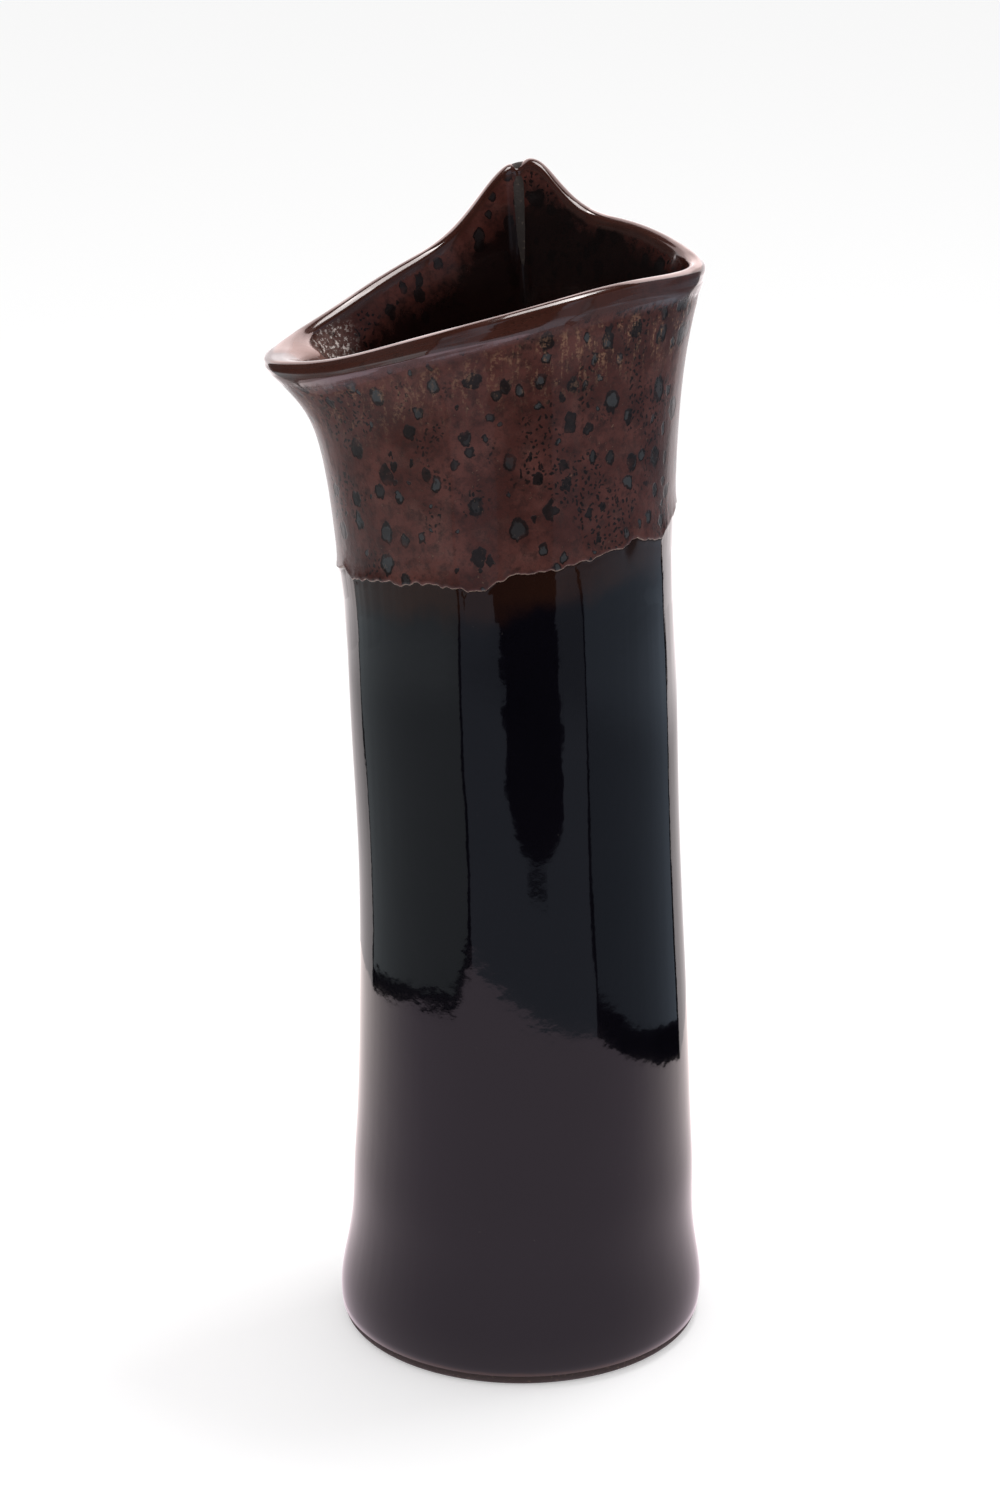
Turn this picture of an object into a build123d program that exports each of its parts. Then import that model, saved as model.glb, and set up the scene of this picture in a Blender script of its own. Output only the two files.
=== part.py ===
"""Sake bottle: a slab-built stoneware bottle with a three-cornered mouth.

A rolled wall slab stands on a round floor slab, with a coil of clay pressed into
the inside corner.  A black glaze coats the outside, a liner glaze coats the
inside, and the mouth end has been dipped in an iron glaze that wraps over the lip.

All sizes are millimetres.  The bottle stands on z = 0, centred on its foot, with
the long pouring lip towards -X and the tall pinched corner towards +Y.
"""
import os
from typing import NamedTuple

import numpy as np
from build123d import *

# ---- overall sizes -------------------------------------------------------------
BOTTLE_HEIGHT = 180.0        # ground to the middle level of the rim
FOOT_RADIUS = 31.0           # widest point of the body, just above the ground
FOOT_SWELL_HEIGHT = 4.5      # height of that widest point
FOOT_TUCK = 0.6              # the swelling is this much narrower at the ground
ANKLE_INSET = 1.7            # the body is this much inside the widest point
ANKLE_HEIGHT = 16.0
CALF_INSET = 2.3
CALF_HEIGHT = 30.0
WAIST_INSET = 4.22           # narrowest part of the body
WAIST_HEIGHT = 92.0
NECK_INSET = 3.8             # at the rim, before the corners are pushed out
LOWER_DRIFT = 0.55           # the middle of the body wanders this far to +X
LOWER_DRIFT_HEIGHT = 38.0
UPPER_DRIFT = -2.9           # and leans back towards the pouring lip
UPPER_DRIFT_HEIGHT = 145.0
RIM_DRIFT = -4.6

# ---- clay and coats ------------------------------------------------------------
WALL_AT_FOOT = 4.6           # wall slab, without its coats
WALL_AT_ANKLE = 4.0
WALL_AT_WAIST = 3.1
WALL_AT_RIM = 2.2
COAT = 0.4                   # every glaze coat
SEAM = 0.01                  # hairline kept between a coat and what is behind it
FLOOR_THICKNESS = 4.5
FOOT_BEVEL_HEIGHT = 1.9      # bare clay between the ground and the glaze
FOOT_BEVEL_DEPTH = 1.8       # how far the contact ring sits inside the widest point
COIL_RADIUS = 3.5            # concave fillet where the wall meets the floor

# ---- mouth ---------------------------------------------------------------------
RIM_LIFT = 2.0               # rim above BOTTLE_HEIGHT, before the corners
RIM_TILT_X = 6.2             # rise of the rim towards +X
RIM_TILT_Y = 1.0             # rise of the rim towards +Y
SIDE_PULL = 3.0              # the sides between the corners are drawn in
SIDE_PULL_FADE = 37.0        # over this length below the rim
EVERSION = 1.5               # outward turn of the last few millimetres
EVERSION_FADE = 6.5
LIP_DROP = 1.4               # centre of the rounded lip below the rim level
RISE_START = 40.0            # below this height every level of the wall is flat


class Corner(NamedTuple):
    """One of the three places where the mouth was pushed outwards."""
    bearing: float           # degrees round from +X
    reach: float             # outward push at the rim
    fade: float              # length over which the push dies away down the wall
    flick: float             # extra push in the last few millimetres
    spread: float            # radians over which the corner blends into the sides
    softness: float          # radians over which the tip is rounded
    rise: float              # how much the rim climbs (or dips) at the corner
    rise_spread: float       # radians


POURING_LIP = Corner(183.6, 7.85, 19.0, 4.45, 0.377, 0.228, -5.6, 0.798)
BACK_PINCH = Corner(81.9, 7.05, 22.5, -0.20, 0.320, 0.046, 9.95, 0.303)
RIGHT_CORNER = Corner(-1.5, 10.15, 20.3, -1.75, 0.649, 0.148, -4.0, 0.645)
CORNERS = [POURING_LIP, BACK_PINCH, RIGHT_CORNER]

# ---- dipped glaze line ---------------------------------------------------------
DIP_DEPTH = 41.0             # edge of the iron glaze on the outside, below the rim level
DIP_TILT = 0.15              # rise of that edge per millimetre towards +X
DIP_WAVES = [(5, 0.45, 0.6), (9, 0.50, 2.1), (14, 0.40, 4.0)]   # (count, size, phase)
INSIDE_DIP_DEPTH = 46.0      # edge of the iron glaze below the rim on the inside
INSIDE_WAVES = [(4, 0.8, 1.0), (11, 0.4, 3.0)]

# ---- fineness of the lofted surfaces -------------------------------------------
POINTS_ROUND = 108
CORNER_CROWDING = 3.0        # extra share of the points gathered at each corner
CROWDING_WIDTH = 0.22        # radians


# ---- curves up the bottle, as (height up the wall, value) ----------------------
BODY_CURVE = [
    (0.0, FOOT_RADIUS - FOOT_TUCK),
    (FOOT_SWELL_HEIGHT, FOOT_RADIUS),
    (ANKLE_HEIGHT, FOOT_RADIUS - ANKLE_INSET),
    (CALF_HEIGHT, FOOT_RADIUS - CALF_INSET),
    (WAIST_HEIGHT, FOOT_RADIUS - WAIST_INSET),
    (BOTTLE_HEIGHT, FOOT_RADIUS - NECK_INSET),
]
DRIFT_CURVE = [
    (0.0, 0.0),
    (LOWER_DRIFT_HEIGHT, LOWER_DRIFT),
    (UPPER_DRIFT_HEIGHT, UPPER_DRIFT),
    (BOTTLE_HEIGHT, RIM_DRIFT),
]
WALL_CURVE = [
    (0.0, WALL_AT_FOOT),
    (ANKLE_HEIGHT, WALL_AT_ANKLE),
    (WAIST_HEIGHT, WALL_AT_WAIST),
    (BOTTLE_HEIGHT, WALL_AT_RIM),
]


def through(curve, height):
    """Smooth curve through its (height, value) points, with no overshoot at a turning point."""
    heights = np.array([point[0] for point in curve])
    values = np.array([point[1] for point in curve])
    slopes = np.gradient(values, heights)
    grades = np.diff(values) / np.diff(heights)
    slopes[1:-1] = np.where(grades[:-1] * grades[1:] <= 0.0, 0.0, slopes[1:-1])
    height = np.clip(height, heights[0], heights[-1])
    left = np.clip(np.searchsorted(heights, height, side="right") - 1, 0, len(heights) - 2)
    span = heights[left + 1] - heights[left]
    part = (height - heights[left]) / span
    rise = values[left + 1] - values[left]
    ease = part * part * (3.0 - 2.0 * part)
    start_bend = part * (1.0 - part) ** 2 * span * slopes[left]
    end_bend = part * part * (part - 1.0) * span * slopes[left + 1]
    return values[left] + rise * ease + start_bend + end_bend


def away_from(corner, bearings):
    """Signed angle from a corner, wrapped to half a turn either way."""
    return (bearings - np.radians(corner.bearing) + np.pi) % (2.0 * np.pi) - np.pi


def rim_level(bearings):
    """Height of the rim round the mouth."""
    level = BOTTLE_HEIGHT + RIM_LIFT
    level = level + RIM_TILT_X * np.cos(bearings) + RIM_TILT_Y * np.sin(bearings)
    for corner in CORNERS:
        level = level + corner.rise * np.exp(-(away_from(corner, bearings) / corner.rise_spread) ** 2)
    return level


def clay_thickness(station):
    return through(WALL_CURVE, station)


def height_at(station, bearings):
    """Height of a wall station; the rise and fall of the rim fades in up the wall."""
    climb = np.clip((station - RISE_START) / (BOTTLE_HEIGHT - RISE_START), 0.0, 1.0)
    climb = climb * climb * (3.0 - 2.0 * climb)
    return station + (rim_level(bearings) - BOTTLE_HEIGHT) * climb


def station_at(height, bearings):
    """Wall station found at the given height."""
    low = np.full_like(bearings, 0.0)
    high = np.full_like(bearings, BOTTLE_HEIGHT)
    for _ in range(40):
        middle = (low + high) / 2.0
        too_low = height_at(middle, bearings) < height
        low = np.where(too_low, middle, low)
        high = np.where(too_low, high, middle)
    return (low + high) / 2.0


def inner_face(station, bearings):
    """Point on the finished inside face of the wall."""
    below_rim = np.maximum(BOTTLE_HEIGHT - station, 0.0)
    lip_share = np.exp(-(below_rim / EVERSION_FADE) ** 1.5)
    radius = through(BODY_CURVE, station) - clay_thickness(station) - 2.0 * COAT
    radius = radius - SIDE_PULL * np.exp(-below_rim / SIDE_PULL_FADE) + EVERSION * lip_share
    for corner in CORNERS:
        away = away_from(corner, bearings)
        weight = np.exp(-(np.hypot(away, corner.softness) - corner.softness) / corner.spread)
        push = corner.reach * np.exp(-below_rim / corner.fade) + corner.flick * lip_share
        radius = radius + push * weight
    x = through(DRIFT_CURVE, station) + radius * np.cos(bearings)
    y = radius * np.sin(bearings)
    z = height_at(station, bearings)
    return np.stack([x, y, z], axis=-1)


def unit(vectors):
    return vectors / np.linalg.norm(vectors, axis=-1, keepdims=True)


def directions(station, bearings):
    """Outward and upward directions of the wall; outward is level near the foot."""
    step = 1e-3
    up = inner_face(station + step, bearings) - inner_face(station - step, bearings)
    round_wall = inner_face(station, bearings + step) - inner_face(station, bearings - step)
    outward = unit(np.cross(round_wall, up))
    foot_end = 1.3 * (FLOOR_THICKNESS + COIL_RADIUS)
    outward[..., 2] *= np.clip((station - foot_end) / 20.0, 0.0, 1.0)
    return unit(outward), unit(up)


# Depths through the wall, measured outwards from the finished inside face.
def inside(station):
    return 0.0 * station


def clay_inside(station):
    return COAT + 0.0 * station


def liner_back(station):
    return clay_inside(station) - SEAM


def clay_outside(station):
    return COAT + clay_thickness(station)


def coat_back(station):
    return clay_outside(station) + SEAM


def outside(station):
    return 2.0 * COAT + clay_thickness(station)


def spaced_bearings():
    """Bearings round the bottle, gathered more closely at the corners."""
    fine = np.linspace(0.0, 2.0 * np.pi, 7201)
    density = np.ones_like(fine)
    for corner in CORNERS:
        density += CORNER_CROWDING * np.exp(-(away_from(corner, fine) / CROWDING_WIDTH) ** 2)
    travelled = np.concatenate([[0.0], np.cumsum((density[1:] + density[:-1]) / 2.0)])
    shares = np.arange(POINTS_ROUND) / POINTS_ROUND
    return np.interp(shares, travelled / travelled[-1], fine)


BEARINGS = spaced_bearings()


def ring(points):
    """Closed smooth wire through one point per bearing."""
    shares = [index / POINTS_ROUND for index in range(POINTS_ROUND + 1)]
    positions = [tuple(float(value) for value in point) for point in points]
    return Wire([Edge.make_spline(positions, periodic=True, parameters=shares)])


def wall_ring(station, depth):
    """Ring at a wall station (one number, or one per bearing) and a depth."""
    station = station + np.zeros_like(BEARINGS)
    outward, _ = directions(station, BEARINGS)
    return ring(inner_face(station, BEARINGS) + outward * depth(station)[:, None])


def lip_ring(turn, shrink):
    """Ring round the lip: turn 0 faces outwards, 90 is the crest, 180 faces inwards."""
    station = BOTTLE_HEIGHT - LIP_DROP + np.zeros_like(BEARINGS)
    outward, up = directions(station, BEARINGS)
    half = (outside(station) / 2.0)[:, None]
    middle = inner_face(station, BEARINGS) + outward * half
    angle = np.radians(turn)
    return ring(middle + (half - shrink) * (np.cos(angle) * outward + np.sin(angle) * up))


def skin(rings):
    """Smooth surface through a run of rings."""
    return Shell.make_loft(rings).faces()


def band(first, second):
    """Straight-sided strip between two rings."""
    return Shell.make_loft([first, second], ruled=True).faces()


def washer(outer, inner):
    """Flat ring-shaped face between two level rings."""
    return [Face(outer, [inner])]


def disc(edge):
    """Flat face filling a level ring."""
    return [Face(edge)]


def closed_solid(*face_groups):
    """Solid bounded by the given faces."""
    faces = [face for group in face_groups for face in group]
    body = Solid(Shell(faces))
    return body if body.volume > 0 else Solid(Shell([-face for face in faces]))


def waves(parts):
    return sum(size * np.sin(count * BEARINGS + phase) for count, size, phase in parts)


# ---- where one coat gives way to another ---------------------------------------
lip_station = BOTTLE_HEIGHT - LIP_DROP
dip_tilt_rise = DIP_TILT * (FOOT_RADIUS - NECK_INSET) * np.cos(BEARINGS)
dip_edge_height = BOTTLE_HEIGHT - DIP_DEPTH + dip_tilt_rise + waves(DIP_WAVES)
dip_station = station_at(dip_edge_height, BEARINGS)
inside_dip_station = station_at(rim_level(BEARINGS) - INSIDE_DIP_DEPTH + waves(INSIDE_WAVES), BEARINGS)
coil_top = FLOOR_THICKNESS + SEAM + COIL_RADIUS

LOWER_STEPS = [0.0, 0.02, 0.045, 0.08, 0.13, 0.21, 0.32, 0.46, 0.62, 0.80, 1.0]
UPPER_STEPS = [0.0, 0.12, 0.24, 0.36, 0.48, 0.59, 0.69, 0.78, 0.86, 0.93, 1.0]
LIP_TURNS = [0.0, 30.0, 60.0, 90.0, 120.0, 150.0, 180.0]


def wall_rings(start, end, steps, depth):
    return [wall_ring(start + (end - start) * step, depth) for step in steps]


def foot_rings(depth):
    """Rings from the edge of the glaze up to the top of the floor slab."""
    return wall_rings(FOOT_BEVEL_HEIGHT, FLOOR_THICKNESS, [0.0, 0.5, 1.0], depth)


def lower_rings(start, end, depth):
    """Rings from near the floor up to the edge of the dipped glaze."""
    return wall_rings(start, end, LOWER_STEPS, depth)


def upper_rings(start, depth):
    """Rings from the edge of the dipped glaze up to the lip."""
    return wall_rings(start, lip_station, UPPER_STEPS, depth)


# ---- shared surfaces -----------------------------------------------------------
outside_foot = foot_rings(outside)
outside_low = lower_rings(FLOOR_THICKNESS, dip_station, outside)
back_foot = foot_rings(coat_back)
back_low = lower_rings(FLOOR_THICKNESS, dip_station, coat_back)
outside_high = upper_rings(dip_station + SEAM, outside)
back_high = upper_rings(dip_station + SEAM, coat_back)
clay_outside_low = lower_rings(FLOOR_THICKNESS, dip_station, clay_outside)
clay_outside_high = upper_rings(dip_station, clay_outside)
inside_low = lower_rings(coil_top, inside_dip_station, inside)
liner_back_low = lower_rings(coil_top, inside_dip_station, liner_back)
inside_high = upper_rings(inside_dip_station + SEAM, inside)
liner_back_high = upper_rings(inside_dip_station + SEAM, liner_back)
clay_inside_low = lower_rings(coil_top, inside_dip_station, clay_inside)
clay_inside_high = upper_rings(inside_dip_station, clay_inside)
clay_lip = [lip_ring(turn, COAT) for turn in LIP_TURNS]
coat_lip_back = [lip_ring(turn, COAT - SEAM) for turn in LIP_TURNS]
coat_lip = [lip_ring(turn, 0.0) for turn in LIP_TURNS]

floor_edge = foot_rings(clay_outside)
behind_coil = wall_rings(FLOOR_THICKNESS, coil_top, [0.0, 0.5, 1.0], clay_inside)


def coil_ring(turn, radius):
    """Ring on the concave face of the coil: turn 0 meets the wall, 90 meets the floor."""
    station = coil_top + np.zeros_like(BEARINGS)
    outward, _ = directions(station, BEARINGS)
    wall_foot = inner_face(station, BEARINGS) + outward * liner_back(station)[:, None]
    middle = wall_foot - outward * COIL_RADIUS
    angle = np.radians(turn)
    below = np.array([0.0, 0.0, -1.0])
    return ring(middle + radius * (np.cos(angle) * outward + np.sin(angle) * below))


COIL_TURNS = [0.0, 30.0, 60.0, 90.0]
coil_face = [coil_ring(turn, COIL_RADIUS + SEAM) for turn in COIL_TURNS]
liner_fillet_back = [coil_ring(turn, COIL_RADIUS) for turn in COIL_TURNS]
liner_fillet = [coil_ring(turn, COIL_RADIUS - COAT + SEAM) for turn in COIL_TURNS]


def circle_ring(radius, height):
    """Level ring of the same family as the wall rings, centred on the foot."""
    across = radius * np.cos(BEARINGS)
    along = radius * np.sin(BEARINGS)
    return ring(np.stack([across, along, np.full_like(across, height)], axis=-1))


contact_radius = FOOT_RADIUS - FOOT_BEVEL_DEPTH
bevel_bulge = contact_radius + 0.72 * (FOOT_BEVEL_DEPTH - COAT)
bevel = [circle_ring(contact_radius, 0.0), circle_ring(bevel_bulge, 0.45 * FOOT_BEVEL_HEIGHT), floor_edge[0]]

# ---- pieces --------------------------------------------------------------------
pieces = {
    "floor_slab": closed_solid(
        disc(bevel[0]),
        skin(bevel),
        skin(floor_edge),
        washer(floor_edge[-1], behind_coil[0]),
        washer(behind_coil[0], coil_face[-1]),
        disc(coil_face[-1]),
    ),
    "wall_slab": closed_solid(
        washer(floor_edge[-1], behind_coil[0]),
        skin(clay_outside_low),
        skin(clay_outside_high),
        skin(clay_lip),
        skin(clay_inside_high),
        skin(clay_inside_low),
        skin(behind_coil),
    ),
    "floor_coil": closed_solid(
        washer(behind_coil[0], coil_face[-1]),
        skin(behind_coil),
        skin(coil_face),
    ),
    "black_glaze": closed_solid(
        band(outside_foot[0], back_foot[0]),
        skin(back_foot),
        skin(back_low),
        band(back_low[-1], outside_low[-1]),
        skin(outside_low),
        skin(outside_foot),
    ),
    "liner_glaze": closed_solid(
        disc(liner_fillet_back[-1]),
        skin(liner_fillet_back),
        skin(liner_back_low),
        band(liner_back_low[-1], inside_low[-1]),
        skin(inside_low),
        skin(liner_fillet),
        disc(liner_fillet[-1]),
    ),
    "iron_glaze": closed_solid(
        band(back_high[0], outside_high[0]),
        skin(outside_high),
        skin(coat_lip),
        skin(inside_high),
        band(inside_high[0], liner_back_high[0]),
        skin(liner_back_high),
        skin(coat_lip_back),
        skin(back_high),
    ),
}

os.makedirs("parts", exist_ok=True)
for node, piece in pieces.items():
    export_step(piece, f"parts/{node}.step")
    print(node, "volume", round(piece.volume, 1), "valid", piece.is_valid, "faces", len(piece.faces()))
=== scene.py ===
import math

import bmesh
import bpy
import numpy as np
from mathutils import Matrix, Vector, noise
from mathutils.bvhtree import BVHTree


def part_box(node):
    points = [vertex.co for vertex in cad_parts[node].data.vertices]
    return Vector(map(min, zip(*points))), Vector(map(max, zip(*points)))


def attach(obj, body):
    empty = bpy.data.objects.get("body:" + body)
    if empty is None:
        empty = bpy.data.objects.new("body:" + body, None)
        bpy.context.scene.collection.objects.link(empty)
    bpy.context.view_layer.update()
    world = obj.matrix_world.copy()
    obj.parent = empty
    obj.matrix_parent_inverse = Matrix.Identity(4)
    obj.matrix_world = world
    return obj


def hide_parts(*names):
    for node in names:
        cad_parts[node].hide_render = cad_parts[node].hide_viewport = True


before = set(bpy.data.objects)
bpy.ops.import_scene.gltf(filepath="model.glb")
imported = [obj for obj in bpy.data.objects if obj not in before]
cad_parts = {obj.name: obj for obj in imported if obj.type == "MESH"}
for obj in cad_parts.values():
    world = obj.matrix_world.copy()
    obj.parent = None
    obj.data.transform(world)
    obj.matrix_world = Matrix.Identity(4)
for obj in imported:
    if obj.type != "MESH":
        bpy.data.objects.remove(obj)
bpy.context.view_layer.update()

# ---- bare clay ------------------------------------------------------------------
# The bottle is built from slabs of dark stoneware: a wall wrapped into a tube, a
# round floor and a coil pressed into the inside corner, joined wet and fired hard.
# Only the bevel at the foot and the underside stay unglazed.

MM = 0.001
CLAY_DARK = (0.016, 0.0095, 0.0080)
CLAY_LIGHT = (0.036, 0.0205, 0.0160)
GROG_TONE = (0.11, 0.075, 0.055)
GRAIN_DEPTH = 0.10 * MM
WIRE_RIDGE = 0.12 * MM
WIRE_CENTRE = (14.0, -22.0, 0.0)


class Value:
    """A shader value; Python arithmetic on it adds Math nodes."""

    def __init__(self, finish, socket):
        self.finish = finish
        self.socket = socket

    def _math(self, operation, first, second):
        return self.finish.node("ShaderNodeMath", {"operation": operation}, {0: first, 1: second})

    def __add__(self, other):
        return self._math("ADD", self, other)

    def __radd__(self, other):
        return self._math("ADD", other, self)

    def __sub__(self, other):
        return self._math("SUBTRACT", self, other)

    def __rsub__(self, other):
        return self._math("SUBTRACT", other, self)

    def __mul__(self, other):
        return self._math("MULTIPLY", self, other)

    def __rmul__(self, other):
        return self._math("MULTIPLY", other, self)

    def __truediv__(self, other):
        return self._math("DIVIDE", self, other)

    def above(self, other):
        return self._math("GREATER_THAN", self, other)

    def highest(self, other):
        return self._math("MAXIMUM", self, other)

    def lowest(self, other):
        return self._math("MINIMUM", self, other)

    def fade(self, start, end):
        """0 at start and 1 at end, easing between them."""
        eased = {"interpolation_type": "SMOOTHSTEP"}
        return self.finish.node("ShaderNodeMapRange", eased, {"Value": self, 1: start, 2: end})


class Finish:
    """A procedural surface finish, built node by node."""

    def __init__(self, name):
        self.material = bpy.data.materials.new(name)
        self.material.use_nodes = True
        self.tree = self.material.node_tree
        self.tree.nodes.clear()

    def node(self, kind, settings=None, sockets=None, output=0):
        """Adds a node: its settings first, then the values or links of its sockets."""
        made = self.tree.nodes.new(kind)
        for name, setting in (settings or {}).items():
            setattr(made, name, setting)
        for name, given in (sockets or {}).items():
            if isinstance(given, Value):
                self.tree.links.new(given.socket, made.inputs[name])
            elif isinstance(given, tuple) and made.inputs[name].type == "RGBA":
                made.inputs[name].default_value = (*given, 1.0)
            else:
                made.inputs[name].default_value = given
        return Value(self, made.outputs[output]) if made.outputs else None

    def place(self, scale=(1.0, 1.0, 1.0)):
        """Position on the piece in millimetres, stretched by a scale."""
        position = self.node("ShaderNodeTexCoord", output="Object")
        return self.vector("MULTIPLY", position, tuple(value / MM for value in scale))

    def clouds(self, size, detail=3.0, place=None, roughness=0.5):
        """Soft noise, 0 to 1, with lumps about the given size in millimetres."""
        sockets = {"Vector": place or self.place(), "Scale": 1.0 / size, "Detail": detail}
        sockets["Roughness"] = roughness
        return self.node("ShaderNodeTexNoise", {"noise_dimensions": "3D"}, sockets)

    def reading(self, name):
        """A number carried by the piece's own points."""
        return self.node("ShaderNodeAttribute", {"attribute_name": name}, output="Fac")

    def vector(self, operation, first, second):
        """Vector arithmetic."""
        return self.node("ShaderNodeVectorMath", {"operation": operation}, {0: first, 1: second})

    def along(self, vector, axis):
        """One of the three numbers of a vector."""
        return self.node("ShaderNodeSeparateXYZ", {}, {"Vector": vector}, output=axis)

    def blend(self, share, first, second):
        """Mixes two colours."""
        sockets = {"Factor": share, 6: first, 7: second}
        return self.node("ShaderNodeMix", {"data_type": "RGBA"}, sockets, output=2)

    def bump(self, height, depth, under=None):
        """Relief of the given depth in metres for a height of one."""
        sockets = {"Height": height, "Distance": depth, "Strength": 1.0}
        if under is not None:
            sockets["Normal"] = under
        return self.node("ShaderNodeBump", {}, sockets)

    def surface(self, **sockets):
        """Joins everything to the shader, with constants on its own sockets."""
        named = {name.replace("_", " "): given for name, given in sockets.items()}
        shader = self.node("ShaderNodeBsdfPrincipled", {}, named)
        self.node("ShaderNodeOutputMaterial", {}, {"Surface": shader})
        return self.material


def fired_clay():
    finish = Finish("fired_clay")
    drift = finish.clouds(9.0, 4.0)
    grog = finish.clouds(0.55, 2.0).fade(0.60, 0.72)
    tone = finish.blend(drift, CLAY_DARK, CLAY_LIGHT)
    tone = finish.blend(grog * 0.6, tone, GROG_TONE)
    grain = finish.clouds(0.35, 4.0, roughness=0.7)
    normal = finish.bump(grain, GRAIN_DEPTH)

    # curved ridges that the cutting wire left under the foot
    rings = {"wave_type": "RINGS", "rings_direction": "Z"}
    pulled = finish.vector("ADD", finish.place((1.0, 1.0, 0.0)), WIRE_CENTRE)
    sockets = {"Vector": pulled, "Scale": 0.16, "Distortion": 1.6, "Detail": 2.0, "Detail Scale": 0.5}
    ridges = finish.node("ShaderNodeTexWave", rings, sockets, output=1)
    normal = finish.bump(ridges, WIRE_RIDGE, under=normal)
    return finish.surface(Base_Color=tone, Roughness=0.62 + 0.25 * drift, Normal=normal, IOR=1.48)


clay = fired_clay()
for clay_part in ("floor_slab", "wall_slab", "floor_coil"):
    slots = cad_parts[clay_part].data.materials
    slots.clear()
    slots.append(clay)


# ---- black glaze ----------------------------------------------------------------
# The whole outside was poured with a black iron glaze and wiped off the foot bevel.
# It is a glassy skin less than half a millimetre thick, faintly uneven from the
# hand-smoothed clay below, and it warms to brown where the dipped glaze ends.

AXIS_X = -2.0 * MM
TUBE_RADIUS = 27.0                              # of the wall, in mm, for patterns that wrap round it
ROUND = 480                                     # points round every ring
FULL_TURN = 2.0 * math.pi
BEARINGS = np.arange(ROUND) * FULL_TURN / ROUND
EDGE_POINTS = 90                                # bearings at which a coat's edge is looked for
EDGE_SPAN = (80.0 * MM, 170.0 * MM)             # heights that the edges lie between
EDGE_HALVINGS = 12
FAR = 80.0 * MM                                 # a reach clear of the wall
COAT = 0.4 * MM                                 # thickness of every glaze
BEHIND = 0.9 * COAT                             # from a face to the hidden side of its coat
DIP_WAVES = [(7.0, 0.6), (3.1, 0.6), (1.5, 0.5), (0.9, 0.3)]     # size and depth in mm
BROAD_SWELL = 0.08
SMALL_SWELL = 0.012
BODY_RINGS = 170
BACK_SHARES = (1.0, 0.8, 0.6, 0.4, 0.2, 0.1, 0.02)
FOOT_ROLL = [(0.0, 0.16), (0.10, 0.05)]         # rise and tuck in mm of the rounded lower edge
TUCKED = 0.9 * MM                               # how far the coat runs on under the iron glaze
TUCK_STEP = 0.12 * MM

BLACK_COOL = (0.0014, 0.0014, 0.0026)
BLACK_WARM = (0.0032, 0.0026, 0.0044)
BROWN_AT_DIP = (0.020, 0.0072, 0.0040)
BROWN_AT_FOOT = (0.040, 0.017, 0.010)
SPECK_TONE = (0.08, 0.07, 0.06)


def coat_tree(names):
    """Ray-casting tree over the named parts."""
    vertices = []
    triangles = []
    for name in names:
        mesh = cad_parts[name].data
        first = len(vertices)
        vertices.extend(vertex.co.copy() for vertex in mesh.vertices)
        triangles.extend([first + index for index in polygon.vertices] for polygon in mesh.polygons)
    return BVHTree.FromPolygons(vertices, triangles)


coats = coat_tree(["black_glaze", "iron_glaze", "liner_glaze"])


def wall_radius(bearing, height, outside=True):
    """Distance from the axis to the glazed face, seen from outside or from inside."""
    outward = Vector((math.cos(bearing), math.sin(bearing), 0.0))
    axis = Vector((AXIS_X, 0.0, height))
    if outside:
        return FAR - coats.ray_cast(axis + outward * FAR, -outward)[3]
    return coats.ray_cast(axis, outward)[3]


def soften(rows, passes):
    """Evens out an array of rings, round each ring and from ring to ring."""
    rows = np.array(rows, float)
    for _ in range(passes):
        rows = 0.5 * rows + 0.25 * (np.roll(rows, 1, axis=1) + np.roll(rows, -1, axis=1))
        if len(rows) > 2:
            rows[1:-1] = 0.5 * rows[1:-1] + 0.25 * (rows[:-2] + rows[2:])
    return rows


def top_edge(name, outside=True):
    """Height of the upper edge of one coat at every bearing, found by halving a span."""
    coat = coat_tree([name])
    bearings = np.arange(EDGE_POINTS) * FULL_TURN / EDGE_POINTS
    heights = []
    for bearing in bearings:
        outward = Vector((math.cos(bearing), math.sin(bearing), 0.0))
        offset = outward * FAR if outside else Vector((0.0, 0.0, 0.0))
        aim = -outward if outside else outward
        on, off = EDGE_SPAN
        for _ in range(EDGE_HALVINGS):
            middle = 0.5 * (on + off)
            if coat.ray_cast(Vector((AXIS_X, 0.0, middle)) + offset, aim, FAR)[0]:
                on = middle
            else:
                off = middle
        heights.append(on)
    return np.interp(BEARINGS, bearings, heights, period=FULL_TURN)


def ragged(waves, seed):
    """Small irregular waves along a line round the wall, each a size and a depth in mm."""
    line = np.zeros(ROUND)
    for number, (size, depth) in enumerate(waves):
        reach = TUBE_RADIUS / size
        shift = seed + 3.7 * number
        points = [Vector((reach * math.cos(b), reach * math.sin(b), shift)) for b in BEARINGS]
        line += depth * MM * np.array([noise.noise(point) for point in points])
    return line


def uneven(heights, radii):
    """Outward swell of the hand-smoothed wall at every point of the rings."""
    swell = np.zeros_like(radii)
    for ring, (row_heights, row_radii) in enumerate(zip(heights, radii)):
        for column, bearing in enumerate(BEARINGS):
            reach = row_radii[column] / MM
            x = reach * math.cos(bearing)
            y = reach * math.sin(bearing)
            z = row_heights[column] / MM
            broad = noise.noise(Vector((x / 17.0, y / 17.0, z / 30.0)))
            small = noise.noise(Vector((x / 6.5 + 9.0, y / 6.5, z / 9.0)))
            swell[ring, column] = MM * (BROAD_SWELL * broad + SMALL_SWELL * small)
    return swell


def sample_wall(starts, ends, shares, outside):
    """Heights and radii of rings between two edges that may rise and fall."""
    heights = np.array([starts + (ends - starts) * share for share in shares])
    radii = [[wall_radius(b, z, outside) for b, z in zip(BEARINGS, row)] for row in heights]
    return heights, np.array(radii, float)


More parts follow.
